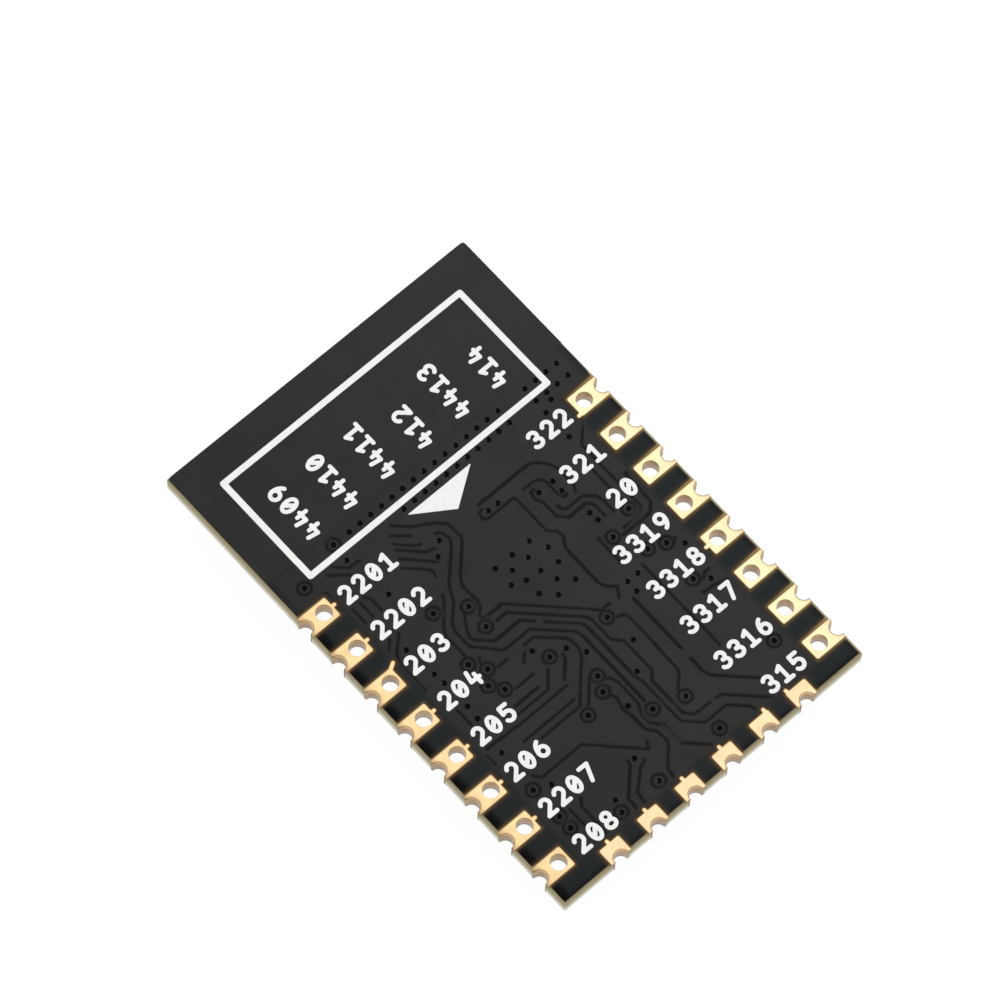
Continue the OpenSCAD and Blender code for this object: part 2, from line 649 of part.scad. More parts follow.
// Leadless chip with flush contacts and a dot at its first corner
module radio_chip() {
    from_middle = (contacts - 1) / 2;
    color(plastic_black) under_board(radio_at) difference() {
        union() {
            translate([-radio_w / 2, -radio_w / 2, 0]) cube([radio_w, radio_w, radio_h]);
            for (side = [0 : 90 : 270], k = [-from_middle : from_middle]) rotate(side)
                translate([radio_w / 2 - contact_l, k * contact_pitch - contact_w / 2, 0])
                    cube([contact_l + contact_out, contact_w, contact_h]);
        }
        translate([-radio_w / 2 + dot_d, radio_w / 2 - dot_d, radio_h - dot_depth])
            cylinder(d1 = dot_d / 2, d2 = 3 * dot_d / 2, h = 2 * dot_depth);
    }
}

// Moulded body with sides that lean in above and below the leads, seen from its end
module flash_body() {
    half = flash_w / 2;
    lead_z = (flash_body_h - lead_t) / 2;
    color(plastic_black) under_board(flash_at) translate([0, flash_l / 2, flash_standoff])
        rotate([90, 0, 0]) linear_extrude(flash_l)
            polygon([[flash_lean - half, 0], [half - flash_lean, 0],
                [half, lead_z], [half, lead_z + lead_t],
                [half - flash_lean, flash_body_h], [flash_lean - half, flash_body_h],
                [-half, lead_z + lead_t], [-half, lead_z]]);
}

// Eight gull-wing leads
module flash_leads() {
    exit_z = flash_standoff + flash_body_h / 2;
    tip_x = flash_w / 2 + lead_reach;
    lead = [[flash_w / 2, exit_z], [flash_w / 2 + shoulder_l, exit_z],
        [tip_x - foot_l, lead_t / 2], [tip_x, lead_t / 2]];
    color(silver) under_board(flash_at)
        for (side = [0, 180], k = [-1.5 : 1.5]) rotate(side)
            translate([0, k * lead_pitch + lead_w / 2, 0]) rotate([90, 0, 0])
                linear_extrude(lead_w) polygon(track(lead, lead_t));
}

module crystal_base() {
    color([0.85, 0.8, 0.7]) under_board(crystal_at) linear_extrude(crystal_base_h) difference() {
        square([crystal_l, crystal_w], center = true);
        for (x = [-1, 1], y = [-1, 1])
            translate([x * crystal_l / 2, y * crystal_w / 2]) circle(crystal_hollow_r);
    }
}

module crystal_lid() {
    lid_l = crystal_l - 2 * crystal_rim;
    lid_w = crystal_w - 2 * crystal_rim;
    color(silver) under_board(crystal_at) translate([0, 0, crystal_base_h])
        linear_extrude(crystal_lid_h) round_rect(lid_l, lid_w, crystal_lid_r);
}

// Small part with a metal cap at each end, which stands proud of the body
module end_capped(h) {
    translate([-cap_reach, -chip_w / 2 + cap_proud, cap_proud])
        cube([2 * cap_reach, chip_w - 2 * cap_proud, h - 2 * cap_proud]);
    for (side = [0, 180]) rotate(side)
        translate([chip_l / 2 - cap_l, -chip_w / 2, 0]) cube([cap_l, chip_w, h]);
}

module capacitor(k) {
    color(ceramic) under_board(capacitors[k - 1], 90) end_capped(chip_w);
}

module resistor(k) {
    color(plastic_black) under_board(resistors[k - 1]) end_capped(resistor_h);
}

module matching_capacitor() {
    color(ceramic) under_board(matching_at) end_capped(chip_w);
}

module matching_coil() {
    color([0.9, 0.92, 0.95]) under_board(coil_at) end_capped(chip_w);
}

module lamp_resistor() {
    color(plastic_black) under_board(lamp_resistor_at) end_capped(resistor_h);
}

module lamp_base() {
    color([0.9, 0.9, 0.85]) under_board(lamp_at)
        translate([-lamp_l / 2 + lamp_contact_l, -lamp_w / 2, 0])
            cube([lamp_l - 2 * lamp_contact_l, lamp_w, lamp_base_h]);
}

module lamp_contacts() {
    color(gold) under_board(lamp_at) for (side = [0, 180]) rotate(side)
        translate([lamp_l / 2 - lamp_contact_l, -lamp_w / 2, 0])
            cube([lamp_contact_l, lamp_w, lamp_base_h]);
}

module lamp_lens() {
    color([0.85, 0.9, 1, 0.6]) under_board(lamp_at) translate([0, 0, lamp_base_h])
        linear_extrude(lamp_lens_h) square([lamp_l - 2 * lamp_lens_inset, lamp_w], center = true);
}

// Tinned copper under the ends of the parts in the strip
module lands_outline(grow = 0) {
    side_l = land + 2 * grow;
    for (at = [coil_at, matching_at, lamp_resistor_at], side = [-1, 1])
        translate([at[0] + side * cap_reach, at[1]]) square(side_l, center = true);
    for (side = [-1, 1])
        translate([lamp_at[0] + side * (lamp_l - lamp_contact_l) / 2, lamp_at[1]])
            square([side_l, lamp_w + 2 * grow], center = true);
}

module solder_lands() {
    color(silver) translate([0, 0, under_z]) linear_extrude(coat_t) lands_outline();
}

// ---- Parts to draw ----

printed_circuit_board();
solder_mask();
component_mask();
printed_frame();
printed_triangle();
for (n = [1 : pad_count])
    pad(n);
antenna();
shield_ring();
shield_can();
radio_chip();
flash_body();
flash_leads();
crystal_base();
crystal_lid();
for (k = [1 : len(capacitors)])
    capacitor(k);
for (k = [1 : len(resistors)])
    resistor(k);
matching_capacitor();
matching_coil();
lamp_resistor();
lamp_base();
lamp_lens();
lamp_contacts();
solder_lands();
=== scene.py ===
"""Looks of the castellated radio module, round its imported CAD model.

The module lies on its shield can with the pad side up. Lengths are in metres, written as
millimetres times MM. The mask, the pads and the print on the pad side are finer meshes that
replace their CAD nodes, and every other node keeps its CAD mesh.
"""

import math

import bmesh
import bpy
import numpy as np
from mathutils import Matrix, Vector
from mathutils.bvhtree import BVHTree


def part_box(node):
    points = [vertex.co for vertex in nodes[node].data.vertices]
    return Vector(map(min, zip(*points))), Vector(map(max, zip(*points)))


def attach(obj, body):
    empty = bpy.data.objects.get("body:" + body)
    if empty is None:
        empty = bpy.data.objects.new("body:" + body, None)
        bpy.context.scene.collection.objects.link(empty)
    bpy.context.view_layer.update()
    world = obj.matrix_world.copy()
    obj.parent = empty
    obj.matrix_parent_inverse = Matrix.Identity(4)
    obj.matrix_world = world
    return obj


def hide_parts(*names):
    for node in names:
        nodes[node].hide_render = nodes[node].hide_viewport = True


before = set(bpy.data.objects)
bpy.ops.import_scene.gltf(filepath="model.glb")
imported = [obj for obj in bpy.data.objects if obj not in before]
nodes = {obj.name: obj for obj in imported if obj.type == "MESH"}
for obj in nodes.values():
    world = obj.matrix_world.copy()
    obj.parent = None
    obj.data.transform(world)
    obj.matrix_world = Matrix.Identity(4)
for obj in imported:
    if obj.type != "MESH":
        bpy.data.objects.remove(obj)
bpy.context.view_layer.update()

MM = 0.001

# ---- Sizes, from the frame where it has them ----

board_low, board_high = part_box("printed_circuit_board")
BOARD_X, BOARD_Y = board_high.x, board_high.y
LAMINATE_TOP, LAMINATE_LOW = board_high.z, board_low.z
COAT_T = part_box("pad_1")[1].z - LAMINATE_TOP
PAD_TOP = LAMINATE_TOP + COAT_T
PAD_LOW = LAMINATE_LOW - COAT_T

SIDE_PADS = 8
END_PADS = 6
PAD_COUNT = 2 * SIDE_PADS + END_PADS
SIDE_PAD = (1.55 * MM, 1.02 * MM)
LEFT_PAD = (1.46 * MM, 1.02 * MM)
END_PAD = (0.8 * MM, 1.06 * MM)
PAD_CORNER_R = 0.1 * MM
HOLE_R = 0.35 * MM
HOLE_INSET = 1.0 * MM
NOTCH_R = 0.33 * MM
LINING_T = 0.07 * MM
EDGE_ROLL = 0.012 * MM
RIM_W = 0.06 * MM

# Bare track that leaves a pad: from where on the pad to where past its inner end, in shares
# of the pad's half width, and its half width
NECK_R = 0.1 * MM
NECK_STRAIGHT = (0.0, 0.08 * MM, 0.0)
NECK_UPPER = (0.75, 0.08 * MM, 0.75)
NECK_LOWER = (-0.72, 0.08 * MM, -0.72)
NECK_DIAGONAL = (0.7, 0.2 * MM, 1.15)
NECKS = {1: NECK_STRAIGHT, 2: NECK_STRAIGHT, 3: NECK_DIAGONAL, 4: NECK_STRAIGHT,
    5: NECK_STRAIGHT, 6: NECK_STRAIGHT, 7: NECK_STRAIGHT, 9: NECK_STRAIGHT, 10: NECK_STRAIGHT,
    11: NECK_STRAIGHT, 12: NECK_STRAIGHT, 13: NECK_LOWER, 14: NECK_UPPER, 18: NECK_STRAIGHT,
    22: NECK_UPPER}

MASK_CORNER_R = 0.08 * MM
MASK_STEP = 0.04 * MM
VIA_R = 0.125 * MM
INK_T = 0.012 * MM
INK_STEP = 0.03 * MM
COPPER_END_Y = 5.9 * MM


# ---- Small helpers ----

def add_piece(name, verts, faces, material):
    """A smooth mesh object that rides on the module."""
    mesh = bpy.data.meshes.new(name)
    mesh.from_pydata([tuple(v) for v in verts], [], [tuple(f) for f in faces])
    mesh.update()
    piece = bpy.data.objects.new(name, mesh)
    bpy.context.scene.collection.objects.link(piece)
    mesh.materials.append(material)
    mesh.shade_smooth()
    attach(piece, "root")
    return piece


def grid_faces(rows, columns, used):
    """Quads of a grid of vertices, for the cells that are used."""
    index = np.arange(rows * columns).reshape(rows, columns)
    quads = np.stack([index[:-1, :-1], index[:-1, 1:], index[1:, 1:], index[1:, :-1]], axis=-1)
    return quads[used]


def compact(verts, faces):
    """Drops the vertices that no face uses."""
    used, faces = np.unique(faces, return_inverse=True)
    return verts[used], faces.reshape(-1, 4), used


def soften(values, sigma):
    """Gaussian blur of a grid, in cells."""
    reach = int(math.ceil(3 * sigma))
    kernel = np.exp(-0.5 * (np.arange(-reach, reach + 1) / sigma) ** 2)
    kernel /= kernel.sum()
    padded = np.pad(values, reach, mode="edge")
    padded = np.apply_along_axis(lambda line: np.convolve(line, kernel, "valid"), 0, padded)
    return np.apply_along_axis(lambda line: np.convolve(line, kernel, "valid"), 1, padded)


def smooth_step(t):
    t = np.clip(t, 0, 1)
    return t * t * (3 - 2 * t)


# ---- Materials ----

class Nodes:
    """A material under construction: makes nodes and joins their sockets."""

    def __init__(self, name):
        self.material = bpy.data.materials.new(name)
        self.material.use_nodes = True
        self.tree = self.material.node_tree
        self.shader = self.tree.nodes["Principled BSDF"]
        self.place = self.add("ShaderNodeTexCoord").outputs["Object"]

    def add(self, kind, **settings):
        node = self.tree.nodes.new(kind)
        for key, value in settings.items():
            if key in node.inputs:
                node.inputs[key].default_value = value
            else:
                setattr(node, key, value)
        return node

    def join(self, output, target):
        self.tree.links.new(output, target)

    def set(self, **values):
        for key, value in values.items():
            self.shader.inputs[key.replace("_", " ")].default_value = value

    def noise(self, size, detail=3.0, stretch=(1, 1, 1)):
        """Noise whose grain is about size metres, stretched along the axes."""
        mapping = self.add("ShaderNodeMapping")
        mapping.inputs["Scale"].default_value = [1 / (size * s) for s in stretch]
        self.join(self.place, mapping.inputs["Vector"])
        noise = self.add("ShaderNodeTexNoise", Scale=1.0, Detail=detail)
        self.join(mapping.outputs["Vector"], noise.inputs["Vector"])
        return noise.outputs["Fac"]

    def ramp(self, factor, *stops):
        """Colours at places along a factor."""
        ramp = self.add("ShaderNodeValToRGB")
        self.join(factor, ramp.inputs["Fac"])
        elements = ramp.color_ramp.elements
        while len(elements) < len(stops):
            elements.new(0.5)
        for element, (place, colour) in zip(elements, stops):
            element.position = place
            element.color = (*colour, 1)
        return ramp.outputs["Color"]

    def split(self, axis):
        """One coordinate of the place on the module."""
        node = self.add("ShaderNodeSeparateXYZ")
        self.join(self.place, node.inputs["Vector"])
        return node.outputs[axis]

    def across(self, *stops):
        """Colours at places across the board, given in millimetres from its middle line."""
        share = self.range(self.split("X"), -BOARD_X, BOARD_X, 0, 1)
        return self.ramp(share, *[((x * MM / BOARD_X + 1) / 2, colour) for x, colour in stops])

    def range(self, value, low, high, to_low, to_high):
        node = self.add("ShaderNodeMapRange")
        node.inputs["From Min"].default_value = low
        node.inputs["From Max"].default_value = high
        node.inputs["To Min"].default_value = to_low
        node.inputs["To Max"].default_value = to_high
        self.join(value, node.inputs["Value"])
        return node.outputs["Result"]

    def mix(self, factor, a, b, blend="MIX"):
        node = self.add("ShaderNodeMix", data_type="RGBA", blend_type=blend)
        sockets = [s for s in node.inputs if s.enabled]
        for socket, value in zip(sockets, (factor, a, b)):
            if isinstance(value, bpy.types.NodeSocket):
                self.join(value, socket)
            elif isinstance(value, (int, float)):
                socket.default_value = value
            else:
                socket.default_value = (*value, 1)
        return [s for s in node.outputs if s.enabled][0]

    def bump(self, height, distance, strength=1.0):
        node = self.add("ShaderNodeBump", Distance=distance, Strength=strength)
        self.join(height, node.inputs["Height"])
        self.join(node.outputs["Normal"], self.shader.inputs["Normal"])


def mask_material():
    """Black solder mask: neutral over copper, bluer where bare, darker in the gaps round the
    tracks (partly the bare laminate under it, partly painted shade), blackened by painted shade
    along the borders, darker to the left and paler to the right by painted light, and brown in a
    fringe beside the pads."""
    m = Nodes("solder_mask_black")
    colour = (0.0300, 0.0298, 0.0290)
    # The tint for the gaps round the tracks is partly the bare laminate under the mask and partly
    # painted shade; the tint for the borders is painted shade.
    for name, tint in (("bare", (0.0165, 0.0195, 0.0208)), ("groove_shade", (0.0085, 0.0083, 0.008)),
            ("edge", (0.0005, 0.0006, 0.0008)), ("fringe", (0.10, 0.062, 0.026))):
        share = m.add("ShaderNodeAttribute", attribute_name=name)
        colour = m.mix(share.outputs["Fac"], colour, tint)
    # Painted light: the mask is darker to the left and paler to the right.
    across = m.range(m.split("X"), -BOARD_X, BOARD_X, 0.9, 1.1)
    colour = m.mix(1.0, colour, across, "MULTIPLY")
    cloud = m.range(m.noise(2.5 * MM), 0.3, 0.7, 0.93, 1.07)
    m.join(m.mix(1.0, colour, cloud, "MULTIPLY"), m.shader.inputs["Base Color"])
    m.join(m.range(m.noise(0.8 * MM), 0.3, 0.7, 0.38, 0.44), m.shader.inputs["Roughness"])
    m.set(IOR=1.4, Specular_IOR_Level=0.08)
    return m.material


def well_material():
    """Inside of a covered via: matt and nearly black, partly for the black plug and partly as
    painted shade of the hole, with a painted glint on one side.
    """
    m = Nodes("via_well")
    grain = m.noise(0.05 * MM)
    # Nearly black: partly the black plug, partly painted shade of the via's hole.
    dark = m.ramp(grain, (0.3, (0.0004, 0.0004, 0.0004)), (0.7, (0.0012, 0.0012, 0.0012)))
    # Painted glint: a pale spot on one side of each cup, stronger on some vias than others.
    painted_glint = m.add("ShaderNodeAttribute", attribute_name="painted_glint")
    bright = m.ramp(m.noise(1.2 * MM, 1), (0.4, (0.012, 0.012, 0.012)), (0.7, (0.11, 0.1, 0.098)))
    m.join(m.mix(painted_glint.outputs["Fac"], dark, bright), m.shader.inputs["Base Color"])
    m.set(Roughness=0.6, Specular_IOR_Level=0.05)
    return m.material


def gold_material():
    """Thin gold over nickel: satin on the faces, with painted light across the board, painted
    shade on the rolled rims, and painted shade in the holes, browner and darker deeper down.
    """
    m = Nodes("pad_gold")
    m.set(Metallic=1.0)
    stain = m.noise(0.5 * MM, 4)
    # Painted light: the faces are darker on the left pads and at the outer ends, paler on the
    # right pads.
    face = m.across((-8.0, (0.40, 0.27, 0.155)), (-7.68, (0.77, 0.56, 0.29)),
        (-6.7, (0.78, 0.57, 0.30)), (-5.5, (0.81, 0.60, 0.355)), (5.5, (0.81, 0.61, 0.365)),
        (6.4, (0.82, 0.715, 0.43)), (7.6, (0.82, 0.70, 0.42)), (8.0, (0.70, 0.58, 0.36)))
    face = m.mix(1.0, face, m.range(stain, 0.3, 0.7, 0.94, 1.06), "MULTIPLY")
    # Painted shade: the rolled rim of each pad turns dark brown where its edge turns down.
    rim = m.add("ShaderNodeAttribute", attribute_name="rim")
    face = m.mix(rim.outputs["Fac"], face, (0.34, 0.20, 0.08))
    normal = m.add("ShaderNodeSeparateXYZ")
    m.join(m.add("ShaderNodeNewGeometry").outputs["Normal"], normal.inputs["Vector"])
    flat = m.range(normal.outputs["Z"], 0.1, 0.6, 0, 1)
    depth = m.range(m.split("Z"), PAD_LOW, PAD_TOP, 0, 1)
    # Painted shade: the walls of the holes are dark brown, darker deeper down.
    wall = m.ramp(depth, (0.0, (0.30, 0.19, 0.10)), (0.6, (0.36, 0.23, 0.12)),
        (0.9, (0.56, 0.38, 0.20)))
    wall = m.mix(1.0, wall, m.range(stain, 0.3, 0.7, 0.88, 1.12), "MULTIPLY")
    m.join(m.mix(flat, wall, face), m.shader.inputs["Base Color"])
    m.join(m.range(stain, 0.3, 0.7, 0.36, 0.28), m.shader.inputs["Roughness"])
    m.bump(m.noise(0.06 * MM), 0.0008 * MM)
    return m.material


def laminate_material():
    """Glass-fibre laminate: ochre on its face, with painted shade and light across the board,
    olive along its border, and on its cut edge olive at the top and paler low down, the paleness
    being painted light."""
    m = Nodes("glass_fibre_laminate")
    height = m.range(m.split("Z"), LAMINATE_LOW, LAMINATE_TOP - 0.004 * MM, 0, 1)
    # Painted light: the cut edge is paler low down.
    edge = m.ramp(height, (0.0, (0.76, 0.74, 0.66)), (0.32, (0.66, 0.63, 0.51)),
        (0.55, (0.44, 0.41, 0.26)), (0.8, (0.36, 0.32, 0.17)), (0.97, (0.30, 0.24, 0.115)))
    layers = m.noise(0.07 * MM, 2, (30, 30, 1))
    edge = m.mix(1.0, edge, m.range(layers, 0.3, 0.7, 0.86, 1.14), "MULTIPLY")
    # Painted shade and light: the face is deep ochre in the middle and paler towards the borders,
    # most towards the right one.
    face = m.across((-8.0, (0.14, 0.09, 0.035)), (-6.5, (0.10, 0.06, 0.022)),
        (6.4, (0.09, 0.05, 0.014)), (7.7, (0.26, 0.165, 0.05)))
    rim = m.add("ShaderNodeMath", operation="MAXIMUM")
    for socket, axis, border in ((0, "X", BOARD_X), (1, "Y", BOARD_Y)):
        size = m.add("ShaderNodeMath", operation="ABSOLUTE")
        m.join(m.split(axis), size.inputs[0])
        near = m.range(size.outputs[0], border - 0.15 * MM, border - 0.02 * MM, 0, 1)
        m.join(near, rim.inputs[socket])
    face = m.mix(rim.outputs[0], face, (0.34, 0.28, 0.15))
    face = m.mix(1.0, face, m.range(m.noise(0.15 * MM, 3), 0.3, 0.7, 0.9, 1.1), "MULTIPLY")
    is_face = m.range(m.split("Z"), LAMINATE_TOP - 0.003 * MM, LAMINATE_TOP - 0.001 * MM, 0, 1)
    m.join(m.mix(is_face, edge, face), m.shader.inputs["Base Color"])
    m.set(Roughness=0.6)
    m.bump(layers, 0.004 * MM)
    return m.material


def ink_material():
    """White legend ink, a little uneven."""
    m = Nodes("legend_ink")
    cover = m.noise(0.25 * MM, 4)
    m.join(m.ramp(cover, (0.3, (0.86, 0.88, 0.84)), (0.6, (0.93, 0.95, 0.91))),
        m.shader.inputs["Base Color"])
    m.set(Roughness=0.6)
    m.bump(cover, 0.002 * MM)
    return m.material


def tin_material():
    """Tinned sheet: satin, with drawing marks along its length and cloudy patches."""
    m = Nodes("tinned_sheet")
    m.set(Metallic=1.0)
    lines = m.noise(0.05 * MM, 3, (1, 60, 1))
    cloud = m.noise(2.5 * MM, 4)
    m.join(m.ramp(cloud, (0.3, (0.62, 0.63, 0.64)), (0.7, (0.74, 0.74, 0.73))),
        m.shader.inputs["Base Color"])
    m.join(m.range(lines, 0.3, 0.7, 0.3, 0.42), m.shader.inputs["Roughness"])
    m.bump(lines, 0.001 * MM)
    return m.material


def solder_material():
    m = Nodes("bright_solder")
    m.set(Metallic=1.0)
    grain = m.noise(0.15 * MM, 4)
    m.join(m.ramp(grain, (0.3, (0.66, 0.67, 0.68)), (0.7, (0.82, 0.82, 0.81))),
        m.shader.inputs["Base Color"])
    m.join(m.range(grain, 0.3, 0.7, 0.22, 0.38), m.shader.inputs["Roughness"])
    m.bump(grain, 0.003 * MM)
    return m.material


def moulded_material(name, dark, pale, roughness, grain=0.08 * MM):
    """Moulded or fired body with a fine grain between two shades."""
    m = Nodes(name)
    speck = m.noise(grain, 4)
    m.join(m.ramp(speck, (0.3, dark), (0.7, pale)), m.shader.inputs["Base Color"])
    m.set(Roughness=roughness)
    m.bump(speck, 0.003 * MM)
    return m.material


def lens_material():
    m = Nodes("clear_resin")
    m.set(Transmission_Weight=0.9, IOR=1.5)
    cloud = m.noise(0.3 * MM, 3)
    m.join(m.ramp(cloud, (0.3, (0.85, 0.92, 1.0)), (0.7, (0.95, 0.97, 1.0))),
        m.shader.inputs["Base Color"])
    m.join(m.range(cloud, 0.3, 0.7, 0.05, 0.14), m.shader.inputs["Roughness"])
    return m.material


MASK = mask_material()
WELL = well_material()
GOLD = gold_material()
LAMINATE = laminate_material()
INK = ink_material()
TIN = tin_material()
SOLDER = solder_material()
EPOXY = moulded_material("black_epoxy", (0.012, 0.012, 0.013), (0.028, 0.028, 0.03), 0.5)
CERAMIC = moulded_material("brown_ceramic", (0.30, 0.19, 0.10), (0.42, 0.29, 0.17), 0.45)
PALE_CERAMIC = moulded_material("pale_ceramic", (0.6, 0.56, 0.46), (0.72, 0.68, 0.58), 0.5)
COIL_CERAMIC = moulded_material("coil_ceramic", (0.55, 0.6, 0.68), (0.7, 0.74, 0.8), 0.3)
LENS = lens_material()


# ---- Pads ----

def is_end(n):
    return SIDE_PADS < n <= SIDE_PADS + END_PADS


def pad_size(n):
    if is_end(n):
        return END_PAD
    return LEFT_PAD if n <= SIDE_PADS else SIDE_PAD


def pad_frame(n):
    """Place of pad n: a matrix whose +X points inward from the board's edge."""
    low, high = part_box(f"pad_{n}")
    middle = (low + high) / 2
    if is_end(n):
        return Matrix.Translation((middle.x, -BOARD_Y, 0)) @ Matrix.Rotation(math.pi / 2, 4, "Z")
    if n <= SIDE_PADS:
        return Matrix.Translation((-BOARD_X, middle.y, 0))
    return Matrix.Translation((BOARD_X, middle.y, 0)) @ Matrix.Rotation(math.pi, 4, "Z")


def arc(centre, radius, start, end, steps):
    """Points on an arc, from angle start to end in degrees."""
    angles = np.radians(np.linspace(start, end, steps + 1))
    return [(centre[0] + radius * math.cos(a), centre[1] + radius * math.sin(a)) for a in angles]


def reach_of(angle, start, shapes):
    """How far a ray from start runs before it has left every shape."""
    step = np.array((math.cos(angle), math.sin(angle)))
    near, far = 0.0, 3 * MM
    for _ in range(40):
        middle = (near + far) / 2
        point = start + middle * step
        if min(shape(point) for shape in shapes) < 0:
            near = middle
        else:
            far = middle
    return near


def neck_ends(n):
    """The two ends of the middle line of pad n's bare track, or nothing."""
    if n not in NECKS:
        return None
    length, width = pad_size(n)
    start, out, end = NECKS[n]
    return (np.array((length - 2 * NECK_R, start * width / 2)),
        np.array((length + out, end * width / 2)))


def pad_outline(n, inset):
    """Outline of pad n's face with its bare track and half hole, drawn in by inset."""
    length, width = pad_size(n)
    half = width / 2 - inset
    inner = np.array((length - PAD_CORNER_R, width / 2 - PAD_CORNER_R))

    def body(point):
        over = np.array((point[0], abs(point[1]))) - inner
        outside = math.hypot(max(over[0], 0), max(over[1], 0))
        return outside + min(max(over[0], over[1]), 0) - PAD_CORNER_R + inset

    shapes = [body]
    ends = neck_ends(n)
    if ends is not None:
        start, end = ends

        def track(point):
            along = end - start
            t = min(max(np.dot(point - start, along) / np.dot(along, along), 0), 1)
            return float(np.linalg.norm(point - start - t * along)) - NECK_R + inset

        shapes.append(track)
    origin = np.array((length - 0.35 * MM, (ends[0][1] if ends is not None else 0) * 0.7))
    notch = NOTCH_R + EDGE_ROLL + inset
    points = [(inset, -half)]
    for angle in np.radians(np.arange(-90, 90.1, 2.5)):
        distance = reach_of(angle, origin, shapes)
        points.append((origin[0] + distance * math.cos(angle),
            origin[1] + distance * math.sin(angle)))
    points += [(inset, half)]
    points += arc((0, 0), notch, 90 - math.degrees(math.asin(inset / notch)),
        -90 + math.degrees(math.asin(inset / notch)), 20)
    return points


def plate(bm, n, top, low):
    """Face of pad n: flat, with a rolled edge, open at its hole and half hole."""
    place = pad_frame(n)
    # The third value of each ring is the painted shade of the rolled edge, kept in the rim
    # attribute.
    rims = [(RIM_W, top, 0), (EDGE_ROLL * 2, top, 0.5), (EDGE_ROLL, top, 0.7),
        (EDGE_ROLL * 0.3, top + (low - top) * 0.1, 0.9), (0, top + (low - top) * 0.3, 1),
        (0, low, 1)]
    layer = bm.verts.layers.float.get("rim") or bm.verts.layers.float.new("rim")
    loops = []
    for inset, z, shade in rims:
        outline = pad_outline(n, inset)
        loops.append([bm.verts.new(place @ Vector((x, y, z))) for x, y in outline])
        for vert in loops[-1]:
            vert[layer] = shade
    count = len(loops[0])
    for upper, lower in zip(loops, loops[1:]):
        for i in range(count):
            j = (i + 1) % count
            bm.faces.new((upper[i], upper[j], lower[j], lower[i]))
    edges = [bm.edges.get((loops[0][i], loops[0][(i + 1) % count])) for i in range(count)]
    if not is_end(n):
        ring = arc((HOLE_INSET, 0), HOLE_R + EDGE_ROLL, 0, 360, 40)[:-1]
        verts = [bm.verts.new(place @ Vector((x, y, top))) for x, y in ring]
        edges += [bm.edges.new((verts[i], verts[(i + 1) % len(verts)])) for i in range(len(verts))]
    bmesh.ops.triangle_fill(bm, use_beauty=True, use_dissolve=False, edges=edges)


def lining(bm, place, centre, radius, start, end, steps):
    """Plated wall of a hole or half hole, with a rolled lip at both faces."""
    roll = EDGE_ROLL
    profile = [(radius + roll, PAD_TOP), (radius + roll * 0.3, PAD_TOP - roll * 0.3),
        (radius, PAD_TOP - roll), (radius, PAD_LOW + roll),
        (radius + roll * 0.3, PAD_LOW + roll * 0.3), (radius + roll, PAD_LOW)]
    rings = []
    for r, z in profile:
        points = arc(centre, r, start, end, steps)
        rings.append([bm.verts.new(place @ Vector((x, y, z))) for x, y in points])
    for upper, lower in zip(rings, rings[1:]):
        for i in range(steps):
            bm.faces.new((upper[i + 1], upper[i], lower[i], lower[i + 1]))
    if end - start < 360:
        for ring, side in ((0, -1), (-1, 1)):
            inner = [row[ring] for row in rings]
            y = centre[1] + side * (radius + LINING_T)
            outer = [bm.verts.new(place @ Vector((centre[0], y, z))) for _, z in profile]
            for a, b, c, d in zip(inner, inner[1:], outer[1:], outer):
                bm.faces.new((a, b, c, d))


def make_pad(n):
    """Pad n: both faces, the linings of its holes and the bare track that leaves it."""
    place = pad_frame(n)
    bm = bmesh.new()
    plate(bm, n, PAD_TOP, LAMINATE_TOP)
    plate(bm, n, PAD_LOW, LAMINATE_LOW)
    lining(bm, place, (0, 0), NOTCH_R, -90, 90, 24)
    if not is_end(n):
        lining(bm, place, (HOLE_INSET, 0), HOLE_R, 0, 360, 40)
    bmesh.ops.recalc_face_normals(bm, faces=bm.faces)
    mesh = bpy.data.meshes.new(f"gold_pad_{n}")
    bm.to_mesh(mesh)
    bm.free()
    piece = bpy.data.objects.new(f"gold_pad_{n}", mesh)
    bpy.context.scene.collection.objects.link(piece)
    mesh.materials.append(GOLD)
    mesh.shade_smooth()
    mesh.set_sharp_from_angle(angle=math.radians(50))
    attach(piece, "root")
    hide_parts(f"pad_{n}")
    return piece


for number in range(1, PAD_COUNT + 1):
    make_pad(number)


# ---- Solder mask on the pad side ----

def round_box(x, y, centre, half, radius):
    """Distance to a box with round corners."""
    dx = np.abs(x - centre[0]) - half[0] + radius
    dy = np.abs(y - centre[1]) - half[1] + radius
    outside = np.hypot(np.maximum(dx, 0), np.maximum(dy, 0))
    return outside + np.minimum(np.maximum(dx, dy), 0) - radius


def capsule(x, y, start, end, radius):
    """Distance to a line with round ends."""
    along = end - start
    t = ((x - start[0]) * along[0] + (y - start[1]) * along[1]) / np.dot(along, along)
    t = np.clip(t, 0, 1)
    return np.hypot(x - start[0] - t * along[0], y - start[1] - t * along[1]) - radius


# Bare laminate between the mask and a pad: towards the antenna end or the right, the other
# way, and at the pad's inner end. On the right it widens towards the border.
GAPS_LEFT = (0.06 * MM, 0.04 * MM, 0.03 * MM)
GAPS_END = (0.04 * MM, 0.04 * MM, 0.03 * MM)
GAPS_RIGHT = (0.07 * MM, 0.05 * MM, 0.03 * MM)
RIGHT_WEDGE = 0.07 * MM

# Bare laminate between the mask and the board's border
PULL_FAR, PULL_RIGHT, PULL_LEFT, PULL_END = 0.03 * MM, 0.08 * MM, 0.09 * MM, 0.12 * MM


